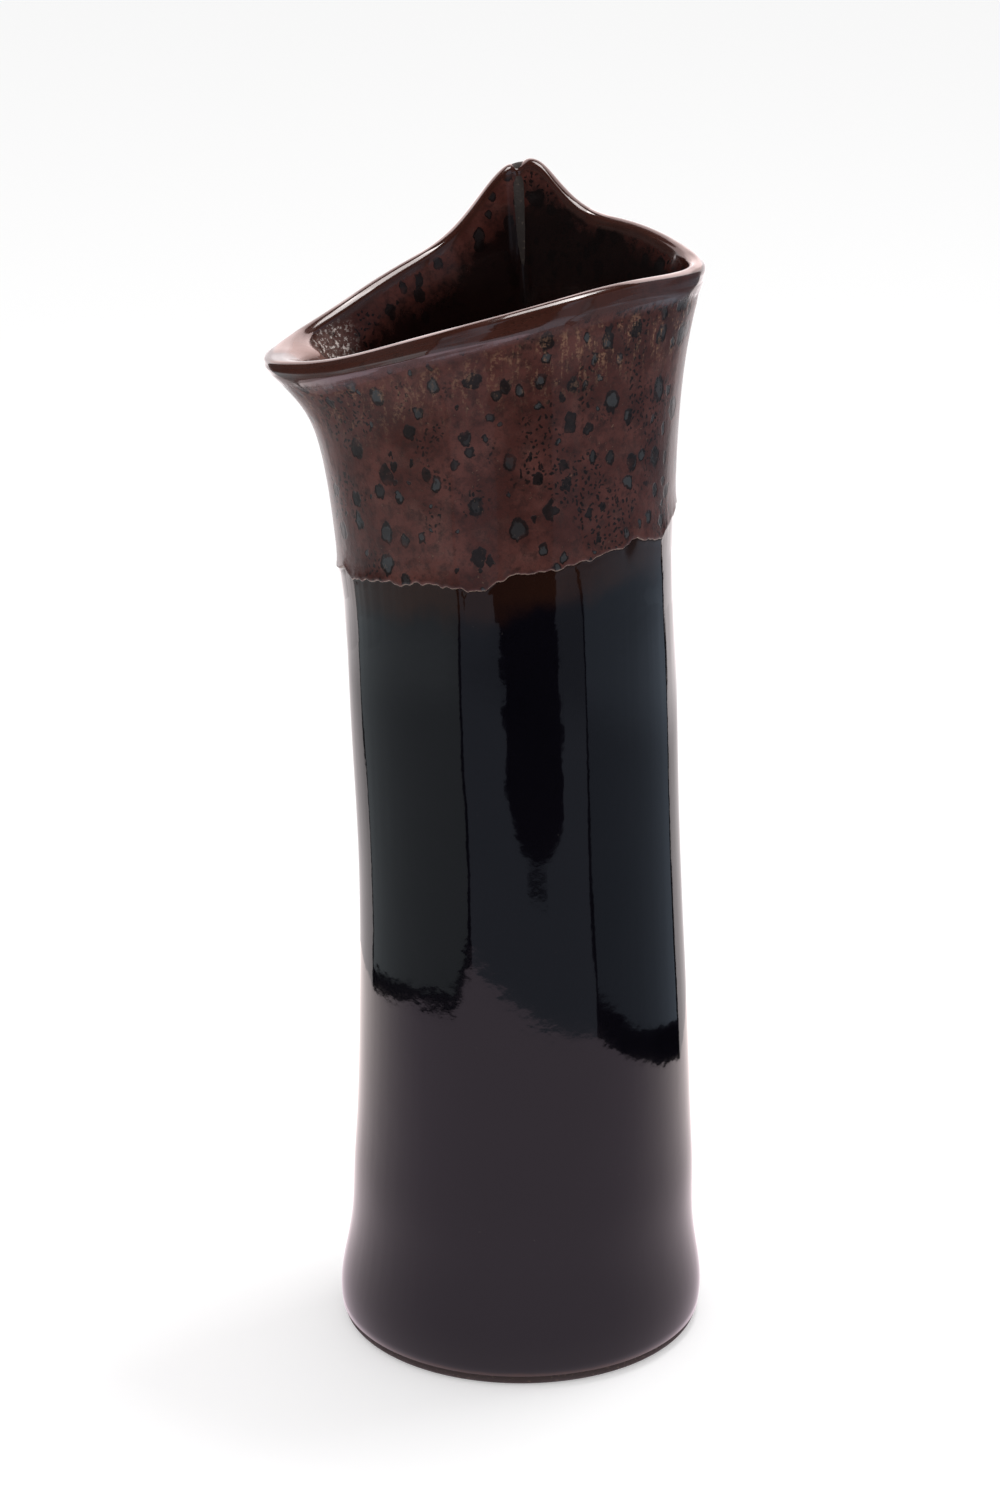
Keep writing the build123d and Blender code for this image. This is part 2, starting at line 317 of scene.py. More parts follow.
def make_piece(name, heights, radii, material, readings):
    """Tube from rings of heights and radii; the first and last ring meet, so it is closed."""
    bm = bmesh.new()
    rings = len(heights)
    bmesh.ops.create_grid(bm, x_segments=ROUND, y_segments=rings - 1, size=1.0)
    bm.verts.ensure_lookup_table()
    layers = {label: bm.verts.layers.float.new(label) for label in readings}
    for ring in range(rings):
        for step in range(ROUND + 1):
            column = step % ROUND
            radius = radii[ring][column]
            bearing = BEARINGS[column]
            vertex = bm.verts[ring * (ROUND + 1) + step]
            x = AXIS_X + radius * math.cos(bearing)
            vertex.co = (x, radius * math.sin(bearing), heights[ring][column])
            for label, layer in layers.items():
                vertex[layer] = readings[label][ring][column]
    bmesh.ops.remove_doubles(bm, verts=bm.verts[:], dist=0.002 * MM)
    bmesh.ops.recalc_face_normals(bm, faces=bm.faces[:])
    mesh = bpy.data.meshes.new(name)
    bm.to_mesh(mesh)
    bm.free()
    mesh.polygons.foreach_set("use_smooth", [True] * len(mesh.polygons))
    mesh.materials.append(material)
    piece = bpy.data.objects.new(name, mesh)
    bpy.context.scene.collection.objects.link(piece)
    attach(piece, "root")
    return piece


def black_glaze_finish():
    finish = Finish("black_glaze")
    below_dip = finish.reading("below_dip")
    above_foot = finish.reading("above_foot")
    drift = finish.clouds(14.0, 3.0)
    wander = finish.clouds(5.0, 3.0)
    warm = 1.0 - (below_dip + (wander - 0.5) * 6.0).fade(2.5, 8.0)
    thin = 1.0 - (above_foot + (wander - 0.5) * 0.8).fade(0.25, 0.95)
    speck = finish.clouds(0.5, 1.0).fade(0.80, 0.85)
    tone = finish.blend(drift, BLACK_COOL, BLACK_WARM)
    tone = finish.blend(warm * (0.3 + 0.7 * drift), tone, BROWN_AT_DIP)
    tone = finish.blend(thin * 0.9, tone, BROWN_AT_FOOT)
    tone = finish.blend(speck * 0.35, tone, SPECK_TONE)

    # broad ripples, a finer pucker and a trace of grain
    normal = None
    for size, detail, depth in ((4.5, 2.0, 0.016), (1.5, 2.0, 0.0050), (0.5, 1.0, 0.0006)):
        normal = finish.bump(finish.clouds(size, detail), depth * MM, under=normal)
    gloss = 0.030 + 0.035 * finish.clouds(7.0, 4.0) + 0.2 * speck
    return finish.surface(Base_Color=tone, Roughness=gloss, Normal=normal, IOR=1.42)


dip_edge = soften([top_edge("black_glaze")], 6)[0]
dip_edge += ragged(DIP_WAVES, 1.7)
glaze_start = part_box("black_glaze")[0].z
body_shares = [step / BODY_RINGS for step in range(BODY_RINGS)] + [0.9965, 1.0]
body_z, body_r = sample_wall(np.full(ROUND, glaze_start), dip_edge, body_shares, outside=True)
body_r = soften(body_r, 10)
body_r = body_r + uneven(body_z, body_r)
foot_edge = body_r[0].copy()
for ring, (rise, tuck) in enumerate(FOOT_ROLL):
    body_z[ring] = glaze_start + rise * MM
    body_r[ring] = foot_edge - tuck * MM
hidden_top = dip_edge + TUCKED
back_rows = [int(share * BODY_RINGS) for share in BACK_SHARES]
black_z = list(body_z) + [hidden_top, hidden_top] + [body_z[row] for row in back_rows] + [body_z[0]]
black_r = list(body_r) + [body_r[-1] - TUCK_STEP, body_r[-1] - BEHIND]
black_r += [body_r[row] - BEHIND for row in back_rows] + [body_r[0]]
black_readings = {
    "below_dip": [(dip_edge - row) / MM for row in black_z],
    "above_foot": [(row - glaze_start) / MM for row in black_z],
}
black = black_glaze_finish()
black_coat = make_piece("black_coat", black_z, black_r, black, black_readings)
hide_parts("black_glaze")


# ---- liner glaze ----------------------------------------------------------------
# The inside was filled with a dark liner glaze and emptied before firing, so an
# even glassy coat covers the wall, the coil at the bottom and the floor.

INSIDE_RINGS = 60
HIDDEN_STEP = 6
COIL_TURNS = (15, 30, 45, 60, 75, 90)
FLOOR_SHARES = (0.9, 0.75, 0.6, 0.45, 0.3, 0.15, 0.0)
LINER_TUCK = 0.8 * MM                           # how far the liner runs on under the iron glaze
LINER_DARK = (0.0030, 0.0016, 0.0014)
LINER_LIGHT = (0.0085, 0.0040, 0.0030)


def liner_finish():
    finish = Finish("liner_glaze")
    drift = finish.clouds(8.0, 4.0)
    tone = finish.blend(drift, LINER_DARK, LINER_LIGHT)
    normal = finish.bump(finish.clouds(4.0, 2.0), 0.05 * MM)
    return finish.surface(Base_Color=tone, Roughness=0.10 + 0.14 * drift, Normal=normal, IOR=1.45)


inside_edge = soften([top_edge("liner_glaze", outside=False)], 6)[0]
inside_edge += ragged([(5.0, 0.5)], 8.3)
floor_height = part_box("floor_slab")[1].z + COAT
coil_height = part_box("floor_coil")[1].z
wall_shares = [step / INSIDE_RINGS for step in range(INSIDE_RINGS + 1)]
tucked_edge = inside_edge + LINER_TUCK
wall_z, wall_r = sample_wall(tucked_edge, np.full(ROUND, coil_height), wall_shares, outside=False)
wall_r = soften(wall_r, 8)
wall_r[0] += 0.5 * COAT
coil_reach = coil_height - floor_height
floor_z = []
floor_r = []
for turn in COIL_TURNS:
    drop = coil_reach * math.sin(math.radians(turn))
    floor_z.append(np.full(ROUND, coil_height - drop))
    floor_r.append(wall_r[-1] - coil_reach * (1.0 - math.cos(math.radians(turn))))
for share in FLOOR_SHARES:
    floor_z.append(np.full(ROUND, floor_height))
    floor_r.append(floor_r[len(COIL_TURNS) - 1] * share)

# the hidden side goes back under the floor and the coil, and up behind the wall
under_r = floor_r[::-1][:len(FLOOR_SHARES)]
under_r += [row + BEHIND for row in floor_r[:len(COIL_TURNS)][::-1]]
wall_rows = range(INSIDE_RINGS, -1, -HIDDEN_STEP)
liner_z = list(wall_z) + floor_z + [row - BEHIND for row in floor_z[::-1]]
liner_z += [wall_z[row] for row in wall_rows] + [wall_z[0]]
liner_r = list(wall_r) + floor_r + under_r
liner_r += [wall_r[row] + BEHIND for row in wall_rows] + [wall_r[0]]
liner_coat = make_piece("liner_coat", liner_z, liner_r, liner_finish(), {})
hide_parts("liner_glaze")


# ---- iron glaze -----------------------------------------------------------------
# The mouth end was dipped upside down in a thick iron glaze, which runs from a
# ragged raised edge on the outside, over the rounded lip and part of the way down
# inside.  In the fire it broke into charcoal spots, and thinned to gloss at the lip.

ABOVE_MOUTH = 0.25
CREST_STEPS = 90
FOLD_BEARING = math.radians(87.4)
FOLD_LEAN = math.radians(0.15)
FOLD_WIDTH = 1.1 * MM
FOLD_DEPTH = 0.9 * MM
FOLD_LENGTH = 34.0
NOTCH_WIDTH = 1.0 * MM
NOTCH_DEPTH = 0.9 * MM
KNOB_OFFSET = math.radians(6.5)
KNOB_WIDTH = 2.6 * MM
KNOB_RISE = 0.35 * MM
LIP_DEPTH = 1.0 * MM
LIP_POINT = 1.15
LIP_TURNS = (15, 30, 45, 60, 75, 90, 105, 120, 135, 150, 165)
EDGE_RISE = [0.10, 0.24, 0.28, 0.24, 0.17, 0.12, 0.09, 0.06, 0.04, 0.03, 0.02]   # mm, ring by ring
BEAD_SWELL, BEAD_BELOW = 0.14, 2.6              # mm, and mm below the crest
HOLLOW_SINK, HOLLOW_BELOW = 0.16, 5.2
SPOUT_BEARING = math.radians(181.0)
SPOUT_HALF = 0.15
SHELF = 6.0 * MM
CRUST_OFFSET = math.radians(13.0)
CRUST_HALF = 0.19

# the hidden side runs close behind both faces, so nothing of it shows through a curve
INNER_ROWS = (56, 48, 40, 33, 27, 22, 18, 14, 11, 8, 6, 4, 2)
OUTER_ROWS = (96, 94, 91, 88, 84, 80, 75, 69, 62, 54, 44, 32, 18, 6)
CLOSE_BEHIND = 0.8 * COAT

RUST_DARK = (0.049, 0.0120, 0.0090)
RUST_LIGHT = (0.090, 0.0270, 0.0212)
BLUSH_TONE = (0.125, 0.050, 0.040)
MOTTLE_TONE = (0.026, 0.0085, 0.0072)
FLECK_TONE = (0.014, 0.0055, 0.0050)
SPOT_RIM = (0.0085, 0.0052, 0.0052)
SPOT_MIDDLE = (0.043, 0.047, 0.051)
PEPPER_TONE = (0.004, 0.003, 0.003)
TAN_STREAK = (0.22, 0.115, 0.068)
TAN_FLECK = (0.21, 0.12, 0.08)
# near-black painted shade inside the mouth
INSIDE_SHADE_TONE = (0.0050, 0.0020, 0.0018)
CREASE_HIGHLIGHT_TONE = (0.13, 0.10, 0.095)
CRUST_BED = (0.20, 0.115, 0.098)
CRUST_PIT = (0.006, 0.004, 0.004)
CRUST_GLINT = (0.92, 0.80, 0.75)
LIP_TONE = (0.044, 0.0140, 0.0095)
POOL_TONE = (0.32, 0.17, 0.14)
THREAD_HIGHLIGHT_TONE = (0.21, 0.155, 0.12)


def find_crest(bearing):
    """Distance from the axis and height of the top of the lip."""
    best = (0.0, 0.0)
    for step in range(CREST_STEPS):
        reach = (18.0 + 0.3 * step) * MM
        start = Vector((AXIS_X + reach * math.cos(bearing), reach * math.sin(bearing), ABOVE_MOUTH))
        top = coats.ray_cast(start, Vector((0.0, 0.0, -1.0)))[0]
        if top and top.z > best[1]:
            best = (reach, top.z)
    return best


def spot_layer(finish, sheet, cell, smallest, spread, chosen):
    """Irregular spots, one in some of the cells: their nearness to a middle and a pick."""
    flat = finish.vector("MULTIPLY", sheet, (1.0 / cell[0], 1.0 / cell[1], 0.0))
    settings = {"voronoi_dimensions": "2D", "feature": "F1"}
    sockets = {"Vector": flat, "Scale": 1.0, "Randomness": 0.95}
    distance = finish.node("ShaderNodeTexVoronoi", settings, sockets)
    choice = finish.node("ShaderNodeTexVoronoi", settings, sockets, output=1)
    size = finish.node("ShaderNodeSeparateColor", {}, {"Color": choice}, output=0)
    pick = finish.node("ShaderNodeSeparateColor", {}, {"Color": choice}, output=1)
    shown = finish.node("ShaderNodeSeparateColor", {}, {"Color": choice}, output=2)
    reach = smallest + spread * size * size
    return (reach - distance) / reach - 2.0 * shown.above(chosen), pick


def iron_glaze_finish():
    finish = Finish("iron_glaze")
    below_lip = finish.reading("below_lip")
    above_dip = finish.reading("above_dip")
    inside = finish.reading("inside")
    crease = finish.reading("crease")
    spout = finish.reading("spout")
    pool = finish.reading("pool")
    sheet = finish.node("ShaderNodeUVMap", {"uv_map": "wall"})
    drift = finish.clouds(9.0, 4.0, roughness=0.6)
    mottle = finish.clouds(1.8, 4.0, roughness=0.65)
    blush = finish.clouds(3.6, 3.0)
    flecks = finish.clouds(0.55, 3.0, roughness=0.7)
    tone = finish.blend(drift.fade(0.35, 0.65), RUST_DARK, RUST_LIGHT)
    tone = finish.blend(blush.fade(0.50, 0.72) * 0.5, tone, BLUSH_TONE)
    tone = finish.blend(mottle.fade(0.42, 0.70) * 0.75, tone, MOTTLE_TONE)
    tone = finish.blend(flecks.fade(0.50, 0.70) * 0.35, tone, FLECK_TONE)

    # charcoal spots: a dark uneven rim round a grey-blue middle
    sockets = {"Vector": finish.place((1.0, 1.0, 0.8)), "Scale": 0.75, "Detail": 4.0}
    warp = finish.node("ShaderNodeTexNoise", {}, sockets, output="Color")
    shift = finish.vector("MULTIPLY", finish.vector("SUBTRACT", warp, (0.5, 0.5, 0.5)), (1.7, 2.3, 0.0))
    warped = finish.vector("ADD", sheet, shift)
    wide, wide_pick = spot_layer(finish, warped, (5.6, 7.0), 0.13, 0.15, 0.85)
    small, small_pick = spot_layer(finish, warped, (3.9, 4.6), 0.10, 0.18, 0.58)
    nearness = wide.highest(small)
    pick = wide_pick.highest(small_pick * 0.8)
    spot = nearness.fade(-0.06, 0.08) * (0.6 + 0.4 * blush.fade(0.30, 0.50))
    middle = nearness.fade(0.24, 0.46) * pick.fade(0.40, 0.85) * (0.55 + mottle).lowest(1.0)
    tone = finish.blend(spot * 0.94, tone, SPOT_RIM)
    tone = finish.blend(middle * (0.75 - 0.6 * inside), tone, SPOT_MIDDLE)

    # fine black pepper, gathered in patches
    flat = finish.vector("MULTIPLY", warped, (1.0, 1.0, 0.0))
    grains = finish.node("ShaderNodeTexVoronoi", {"voronoi_dimensions": "2D"}, {"Vector": flat, "Scale": 1.0})
    patches = finish.clouds(8.0, 2.0, place=finish.place((1.0, 1.0, 0.6))).fade(0.50, 0.60)
    pepper = (1.0 - grains.fade(0.17, 0.31)) * patches
    tone = finish.blend(pepper * 0.9, tone, PEPPER_TONE)

    # tan streaks and flecks in a band just under the lip
    streaks = finish.clouds(1.0, 3.0, place=finish.place((1.0, 1.0, 0.26)), roughness=0.6)
    band = below_lip.fade(4.0, 6.5) * (1.0 - below_lip.fade(8.5, 18.0)) * (1.0 - inside)
    across = finish.along(finish.place(), 0)
    tan = band * streaks.fade(0.47, 0.64) * flecks.fade(0.44, 0.60)
    tone = finish.blend(tan * (0.4 + 0.4 * across.fade(-10.0, 12.0)), tone, TAN_STREAK)
    scatter = flecks.fade(0.63, 0.73) * finish.clouds(5.0, 2.0).fade(0.42, 0.62) * (1.0 - inside)
    tone = finish.blend(scatter * 0.5, tone, TAN_FLECK)

    # inside, painted shade: the tone darkens to near black further down into the mouth below the lip, and
    # sooner on the right side
    right = across.fade(-2.0, 8.0)
    shade_reach = below_lip + right * 5.0 + (drift - 0.5) * 16.0 + (mottle - 0.5) * 6.0
    inside_shade = inside * shade_reach.fade(3.0, 9.5)
    tone = finish.blend(inside_shade * 0.94, tone, INSIDE_SHADE_TONE)
    # a pale bluish streak painted down the fold inside: a painted highlight along the crease
    tone = finish.blend(crease.fade(0.75, 0.97) * streaks.fade(0.42, 0.60) * 0.5, tone, CREASE_HIGHLIGHT_TONE)

    # glints and pits of the crust in the pouring corner; the glints are a painted highlight, near-white
    # colour in small specks that also stand up in relief
    sparkle = finish.clouds(0.75, 3.0, roughness=0.75)
    tone = finish.blend(spout * mottle.fade(0.30, 0.50) * 0.7, tone, CRUST_BED)
    tone = finish.blend(spout * (1.0 - sparkle.fade(0.34, 0.42)) * 0.9, tone, CRUST_PIT)
    crust_glints = spout * sparkle.fade(0.54, 0.58)
    tone = finish.blend(crust_glints * 0.95, tone, CRUST_GLINT)

    # the lip itself is smooth, dark and glassy, and along the raised edge where the dip ends a pale thread is
    # painted: a painted highlight on the edge
    lip = 1.0 - (below_lip * (1.0 + 1.4 * inside) + (streaks - 0.5) * 2.4).fade(3.4, 5.2)
    lip = lip * (1.0 - spout)
    tone = finish.blend(lip * 0.85, tone, LIP_TONE)
    tone = finish.blend(pool * (0.35 + 0.5 * mottle), tone, POOL_TONE)
    thread_highlight = (1.0 - above_dip.fade(0.09, 0.28)) * (1.0 - inside) * flecks.fade(0.34, 0.54)
    tone = finish.blend(thread_highlight * 0.8, tone, THREAD_HIGHLIGHT_TONE)

    # a clear layer shows in long lines round the lip, and hardly on the spotted wall
    shine = lip.highest(inside * 0.85)
    gloss = 0.27 + 0.14 * drift - 0.17 * shine
    round_wall = finish.along(sheet, 0)
    rim = finish.node("ShaderNodeCombineXYZ", {}, {0: round_wall / 15.0, 1: below_lip / 1.3, 2: 0.0})
    lines = finish.clouds(1.0, 2.0, place=rim).fade(0.46, 0.56)
    coating = (0.12 + 0.88 * lip * (0.25 + 0.75 * lines)) * (1.0 - 0.5 * inside * (1.0 - lip))
    coating = coating * (1.0 - 0.7 * pool)

    relief = (mottle + flecks * 0.5) * (1.0 - 0.97 * shine)
    sunk_spots = (1.0 - nearness.fade(-0.1, 0.3)) * (1.0 - shine)
    normal = finish.bump(relief, 0.045 * MM)
    normal = finish.bump(sunk_spots, 0.035 * MM, under=normal)
    normal = finish.bump(crust_glints, 0.22 * MM, under=normal)
    normal = finish.bump(finish.clouds(3.0, 2.0), 0.03 * MM, under=normal)
    glass = {"Coat_Weight": coating, "Coat_Roughness": 0.04, "Coat_IOR": 1.85}
    return finish.surface(Base_Color=tone, Roughness=gloss, Normal=normal, IOR=1.33, **glass)


def turned_from(bearing):
    """Signed turn of every bearing from the given one, in radians."""
    return (BEARINGS - bearing + math.pi) % FULL_TURN - math.pi


crest_radius, crest_height = soften(np.array([find_crest(b) for b in BEARINGS]).T, 8)

# the ends of the wall slab meet at the back in a fold that notches the lip
notch = np.exp(-(turned_from(FOLD_BEARING) * crest_radius / NOTCH_WIDTH) ** 2)
knob = np.exp(-(turned_from(FOLD_BEARING - KNOB_OFFSET) * crest_radius / KNOB_WIDTH) ** 2)
crest_height = crest_height - NOTCH_DEPTH * notch + KNOB_RISE * knob
lip_start = crest_height - LIP_DEPTH

outer_shares = [0.0, 0.004, 0.010, 0.018, 0.028] + [0.04 + 0.96 * step / 92.0 for step in range(93)]
outer_z, outer_r = sample_wall(dip_edge, lip_start, outer_shares, outside=True)
inner_shares = [step / 56.0 for step in range(57)]
inner_z, inner_r = sample_wall(lip_start, inside_edge, inner_shares, outside=False)
outer_r = soften(outer_r, 8)
inner_r = soften(inner_r, 4)
settle = 1.0 - np.array(outer_shares)[:, None] ** 4
outer_r = outer_r + uneven(outer_z, outer_r) * settle

# the lip was rolled between wet fingers: a soft bead with a hollow below it
outer_depth = (crest_height - outer_z) / MM
front = 0.5 - 0.5 * np.sin(BEARINGS - math.radians(18.0))
bead = BEAD_SWELL * np.exp(-(outer_depth - BEAD_BELOW) ** 2)
bead -= HOLLOW_SINK * np.exp(-(outer_depth - HOLLOW_BELOW) ** 2)
outer_r = outer_r + MM * bead * front
for ring, rise in enumerate(EDGE_RISE):
    outer_r[ring] += rise * MM

inner_depth = (crest_height - inner_z) / MM
fold_turn = np.array([turned_from(FOLD_BEARING - FOLD_LEAN * depth.mean()) for depth in inner_depth])
fold = np.exp(-(fold_turn * inner_r / FOLD_WIDTH) ** 2) * np.clip(1.0 - inner_depth / FOLD_LENGTH, 0.0, 1.0)
inner_r = inner_r + FOLD_DEPTH * fold * np.clip(inner_depth / 3.0, 0.3, 1.0)

# glaze pooled in the pouring corner and fills it almost to the lip
pooled = np.exp(-(turned_from(SPOUT_BEARING) / SPOUT_HALF) ** 2)
slope = np.clip((inner_depth - 2.0) / 7.0, 0.0, 1.0)
inner_r = inner_r - SHELF * pooled * (1.0 - slope * slope * (3.0 - 2.0 * slope))

lip_z = []
lip_r = []
half_lip = (outer_r[-1] - inner_r[0]) / 2.0
lip_middle = (outer_r[-1] + inner_r[0]) / 2.0
for turn in LIP_TURNS:
    side = math.cos(math.radians(turn))
    lip_r.append(lip_middle + half_lip * math.copysign(abs(side) ** LIP_POINT, side))
    lip_z.append(lip_start + LIP_DEPTH * math.sin(math.radians(turn)))
iron_z = list(outer_z) + lip_z + list(inner_z)
iron_r = list(outer_r) + lip_r + list(inner_r)
visible = len(iron_z)
iron_z += [inner_z[row] for row in INNER_ROWS] + [outer_z[row] for row in OUTER_ROWS]
iron_r += [inner_r[row] + CLOSE_BEHIND for row in INNER_ROWS]
iron_r += [outer_r[row] - CLOSE_BEHIND for row in OUTER_ROWS]
iron_z += [outer_z[0], outer_z[0]]
iron_r += [outer_r[0] - 1.4 * COAT, outer_r[0]]

outer_rings = len(outer_z) + len(lip_z) // 2
inner_first = len(outer_z) + len(lip_z)
nothing = np.zeros(ROUND)
blank = [nothing] * len(iron_z)
crust_turn = np.exp(-(turned_from(SPOUT_BEARING - CRUST_OFFSET) / CRUST_HALF) ** 4)
crusted = [crust_turn * np.exp(-((depth - 3.6) / 3.0) ** 4) for depth in inner_depth]
iron_readings = {
    "below_lip": [(crest_height - row) / MM for row in iron_z],
    "above_dip": [(row - dip_edge) / MM for row in iron_z],
    "inside": [nothing + float(outer_rings <= ring < visible) for ring in range(len(iron_z))],
    "crease": blank[:inner_first] + list(fold) + blank[visible:],
    "spout": blank[:inner_first] + crusted + blank[visible:],
    "pool": blank[:outer_rings] + [pooled] * (visible - outer_rings) + blank[visible:],
}
iron = iron_glaze_finish()
iron_coat = make_piece("iron_coat", iron_z, iron_r, iron, iron_readings)
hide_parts("iron_glaze")


def unroll(piece, seam_bearing):
    """UV map in millimetres: round the wall from a seam, and up it."""
    mesh = piece.data
    layer = mesh.uv_layers.new(name="wall")
    points = np.array([vertex.co for vertex in mesh.vertices]) / MM
    turn = (np.arctan2(points[:, 1], points[:, 0] - AXIS_X / MM) - seam_bearing) % FULL_TURN
    for polygon in mesh.polygons:
        turns = [turn[index] for index in polygon.vertices]
        wraps = max(turns) - min(turns) > math.pi
        for loop, index in zip(polygon.loop_indices, polygon.vertices):
            whole = FULL_TURN if wraps and turn[index] < math.pi else 0.0
            layer.data[loop].uv = ((turn[index] + whole) * TUBE_RADIUS, points[index, 2])


unroll(iron_coat, math.radians(60.0))


# ---- table, light tent and camera -----------------------------------------------
# The bottle stands on a white table inside a light tent of four cloth walls that
# only its glaze sees.  Bearings here are measured from the camera side towards +X.

# the lit paper on the table ends at these bearings in degrees and reaches in millimetres
PAPER_EDGE = [(0, 214), (13, 211), (47, 205), (61, 192), (75, 175), (98, 155), (128, 134), (160, 150),
              (200, 170), (236, 168), (262, 176), (290, 188), (315, 200), (327, 224), (340, 222), (352, 218)]
PAPER_NEAR = (0.97, 0.79, 0.93)
PAPER_FAR = (1.62, 1.42, 1.40)
PAPER_FADE = (-70.0, 130.0)                     # mm from front to back between which it changes
PAPER_HEIGHT = 0.3 * MM

FRONT_LEFT, FRONT_RIGHT, BACK_RIGHT, BACK_LEFT = -34.0, 49.2, 128.0, 236.0
BAND = 0.078                                    # height of the join between lower and upper cloths
WALL_TOP = 0.36
SEAM = 0.9                                      # degrees left open at each end of a cloth

# name, first and last bearing, gap behind the paper, foot height, foot colour,
# and the share of that colour at the join and above it
CLOTH_WALLS = [
    ("tent_front", FRONT_LEFT, FRONT_RIGHT, 0.014, -0.06, (0.33, 0.37, 0.45), 0.7, 0.7),
    ("tent_right", FRONT_RIGHT, BACK_RIGHT, 0.026, 0.0, (0.26, 0.31, 0.38), 1.5, 0.5),
    ("tent_back", BACK_RIGHT, BACK_LEFT, 0.016, -0.06, (0.98, 0.90, 0.91), 1.9, 1.9),
    ("tent_left", BACK_LEFT, FRONT_LEFT + 360.0, 0.010, 0.0, (0.38, 0.42, 0.44), 1.4, 0.12),
]
FOOT_FADE = (52.0, 75.0)                        # mm between which the foot colour changes
TOP_FADE = (BAND / MM, 105.0)                   # mm between which the upper cloth changes
UPPER_BACK = 0.215
BRIGHT_TONE = (2.2, 1.75, 1.70)
ROOM_GAP = 0.20
ROOM_SPAN = (-0.10, WALL_TOP + 0.06)
ROOF_HALF = 0.11
ROOF_PLACE = (0.0, 0.05, 0.55)
ROOF_TONE = (9.0, 8.4, 8.2)

FIGURE_BEARING, FIGURE_HALF, FIGURE_REACH = 12.0, 18.5, 0.218
FIGURE_FOOT, FIGURE_ROUND = 0.0198, 0.019
GAP_BEARING, GAP_HALF = FIGURE_BEARING - 0.5, 7.0
GAP_HEIGHT, GAP_RISE = 0.0172, 0.0011

TABLE_TONES = ((0.76, 0.76, 0.76), (0.74, 0.74, 0.74))
TABLE_GLOW = 0.35
TABLE_HALF = 9.0
WORLD_LIGHT = 0.82
CAMERA_PLACE = (-3.52 * MM, -0.640, 0.3325)
CAMERA_TILT = 19.85
CAMERA_LENS = 99.18


def glow_finish(name, near, far=None, axis=2, start=0.0, end=1.0):
    """Cloth or paper that only gives off light, from one colour to another along an axis."""
    finish = Finish(name)
    colour = near
    if far is not None:
        colour = finish.blend(finish.along(finish.place(), axis).fade(start, end), near, far)
    matt = {"Base_Color": (0.0, 0.0, 0.0), "Roughness": 1.0, "Specular_IOR_Level": 0.0}
    return finish.surface(**matt, Emission_Color=colour, Emission_Strength=1.0)


def stage_sheet(name, bm, material):
    """A flat thing round the bottle that only reflections see."""
    mesh = bpy.data.meshes.new(name)
    bm.to_mesh(mesh)
    bm.free()
    mesh.materials.append(material)
    sheet = bpy.data.objects.new(name, mesh)
    bpy.context.scene.collection.objects.link(sheet)
    sheet.visible_camera = False
    sheet.visible_diffuse = False
    sheet.visible_shadow = False
    return sheet


def plan(bearing, reach):
    """Point on the table at a bearing in degrees and a distance from the bottle."""
    angle = math.radians(bearing)
    return (reach * math.sin(angle), -reach * math.cos(angle))


def paper_reach(bearing):
    """How far the lit paper reaches at a bearing in degrees."""
    return MM * float(np.interp(bearing, *zip(*PAPER_EDGE), period=360.0))


def curtain(name, start, end, gap, low, high, material):
    """Upright cloth that follows the edge of the paper from one bearing to another."""
    bm = bmesh.new()
    bmesh.ops.create_grid(bm, x_segments=32, y_segments=1, size=1.0)
    for vertex in bm.verts:
        bearing = start + (end - start) * (0.5 + 0.5 * vertex.co.x)
        height = high if vertex.co.y > 0.0 else low
        vertex.co = (*plan(bearing, paper_reach(bearing) + gap), height)
    return stage_sheet(name, bm, material)


for name, first, last, gap, low, foot, join_share, top_share in CLOTH_WALLS:
    join = tuple(join_share * channel for channel in foot)
    top = tuple(top_share * channel for channel in foot)
    lower_cloth = glow_finish(name, foot, join, 2, *FOOT_FADE)
    curtain(name, first + SEAM, last - SEAM, gap, low, BAND, lower_cloth)
    upper_cloth = glow_finish(name + "_top", join, top, 2, *TOP_FADE)
    curtain(name + "_top", first + SEAM, last - SEAM, gap, BAND, WALL_TOP, upper_cloth)
bright = glow_finish("bright_cloth", BRIGHT_TONE)
curtain("tent_back_upper", BACK_RIGHT + 6.0, BACK_LEFT - 6.0, 0.012, UPPER_BACK, WALL_TOP, bright)

dark = glow_finish("dark_room", (0.0, 0.0, 0.0))
curtain("dark_room", 0.0, 360.0, ROOM_GAP, *ROOM_SPAN, dark)

bm = bmesh.new()
bmesh.ops.create_grid(bm, x_segments=1, y_segments=1, size=ROOF_HALF)
bmesh.ops.translate(bm, verts=bm.verts[:], vec=ROOF_PLACE)
stage_sheet("tent_roof", bm, glow_finish("tent_roof", ROOF_TONE))

# a dark standing figure shows through the front of the tent, with uneven sides
bm = bmesh.new()
bmesh.ops.create_grid(bm, x_segments=12, y_segments=90, size=1.0)
for vertex in bm.verts:
    share = (0.5 + 0.5 * vertex.co.y) ** 2.2
    height = FIGURE_FOOT + (WALL_TOP - FIGURE_FOOT) * share
    missing = max(0.0, 1.0 - (height - FIGURE_FOOT) / FIGURE_ROUND)
    width = FIGURE_HALF * math.sqrt(1.0 - missing ** 2)
    side = 5.0 if vertex.co.x > 0.0 else -5.0
    shake = noise.noise(Vector((side, 0.0, height / 0.007)))
    shake += 0.5 * noise.noise(Vector((side, 3.0, height / 0.0022)))
    turn = vertex.co.x * (width + 3.4 * shake * (1.0 - missing))
    vertex.co = (*plan(FIGURE_BEARING + turn, FIGURE_REACH), height)
stage_sheet("dark_figure", bm, dark)

# and a small dark gap shows below its foot
bm = bmesh.new()
bmesh.ops.create_circle(bm, cap_ends=True, segments=24, radius=1.0)
for vertex in bm.verts:
    bearing = GAP_BEARING + GAP_HALF * vertex.co.x
    vertex.co = (*plan(bearing, FIGURE_REACH), GAP_HEIGHT + GAP_RISE * vertex.co.y)
stage_sheet("dark_gap", bm, dark)

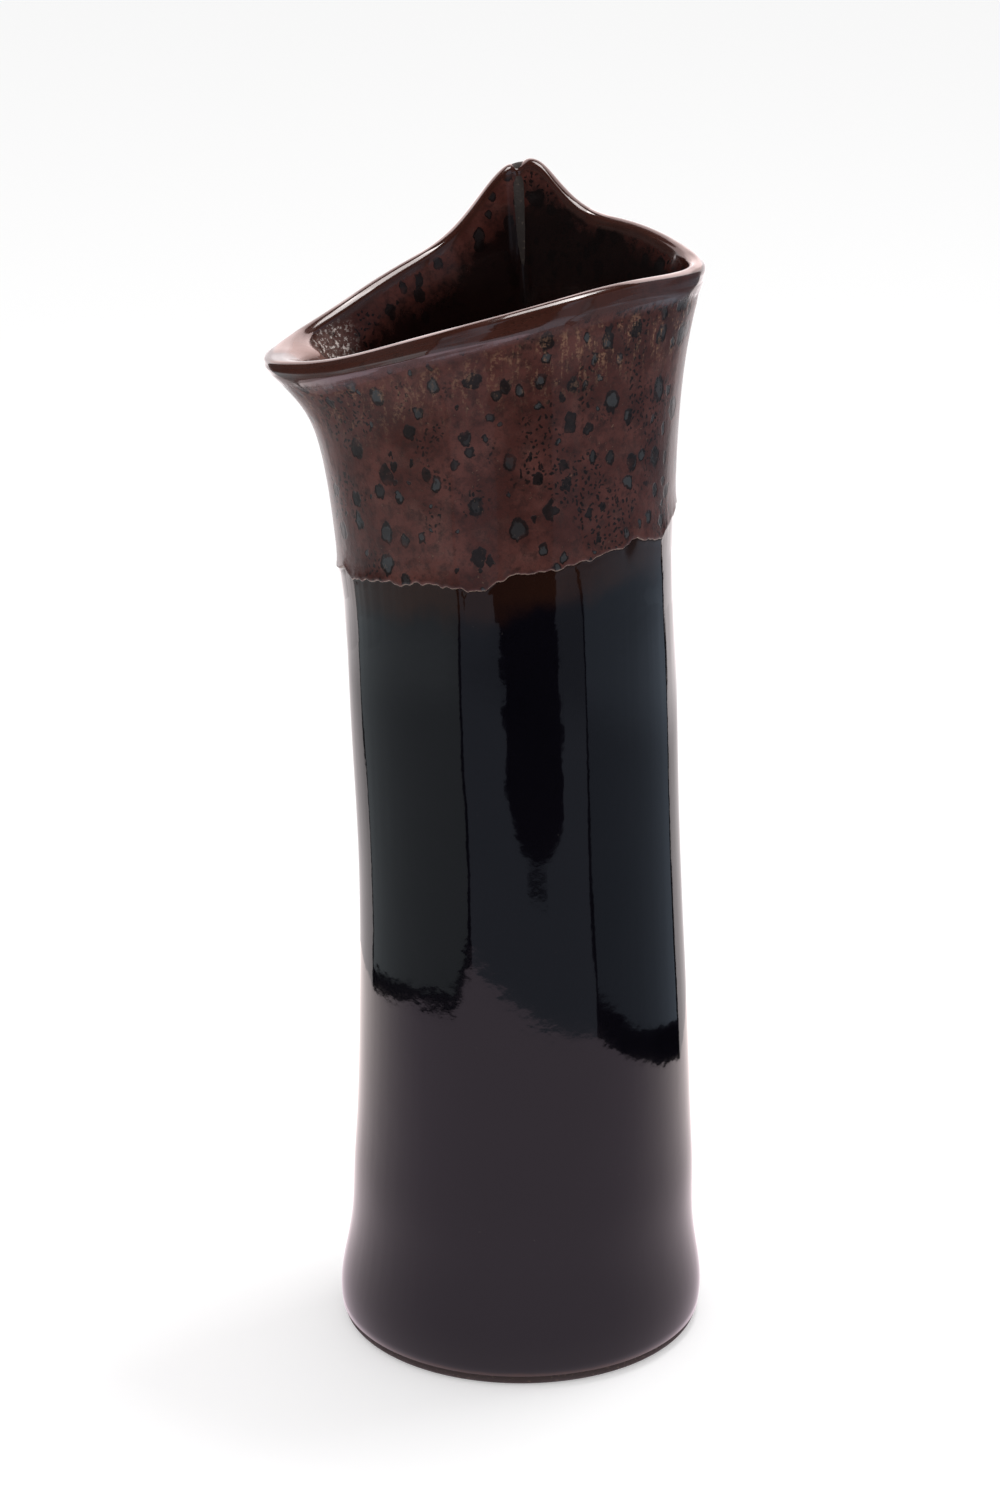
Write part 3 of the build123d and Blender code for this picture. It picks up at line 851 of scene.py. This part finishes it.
bm = bmesh.new()
bmesh.ops.create_circle(bm, cap_ends=True, segments=180, radius=1.0)
for vertex in bm.verts:
    bearing = math.degrees(math.atan2(vertex.co.x, -vertex.co.y)) % 360.0
    vertex.co = (*plan(bearing, paper_reach(bearing)), PAPER_HEIGHT)
paper = glow_finish("lit_paper", PAPER_NEAR, PAPER_FAR, 1, *PAPER_FADE)
stage_sheet("lit_paper", bm, paper)


def table_finish():
    finish = Finish("table_top")
    tone = finish.blend(finish.clouds(2.5, 2.0), *TABLE_TONES)
    glow = {"Emission_Color": (1.0, 1.0, 1.0), "Emission_Strength": TABLE_GLOW}
    return finish.surface(Base_Color=tone, Roughness=0.8, **glow)


bm = bmesh.new()
bmesh.ops.create_grid(bm, x_segments=1, y_segments=1, size=TABLE_HALF)
table = stage_sheet("table", bm, table_finish())
table.visible_camera = True
table.visible_diffuse = True
table.visible_shadow = True
table.visible_glossy = False

# one small square lamp high at the back right gives the soft shadow at the front left
lamp_data = bpy.data.lights.new("key", "AREA")
lamp_data.energy = 1.9
lamp_data.size = 0.14
lamp = bpy.data.objects.new("key", lamp_data)
lamp.location = (0.13, 0.11, 0.90)
lamp_aim = Vector((0.0, 0.0, 0.05)) - lamp.location
lamp.rotation_euler = lamp_aim.to_track_quat("-Z", "Y").to_euler()
bpy.context.scene.collection.objects.link(lamp)

world = bpy.data.worlds.new("studio")
world.use_nodes = True
sky = world.node_tree.nodes["Background"].inputs
sky["Color"].default_value = (1.0, 1.0, 1.0, 1.0)
sky["Strength"].default_value = WORLD_LIGHT
world.cycles_visibility.glossy = False
bpy.context.scene.world = world

camera_data = bpy.data.cameras.new("camera")
camera_data.lens = CAMERA_LENS
camera_data.sensor_width = 36.0
camera = bpy.data.objects.new("camera", camera_data)
camera.location = CAMERA_PLACE
camera.rotation_euler = (math.radians(90.0 - CAMERA_TILT), 0.0, 0.0)
bpy.context.scene.collection.objects.link(camera)
bpy.context.scene.camera = camera
bpy.context.scene.view_settings.view_transform = "Standard"
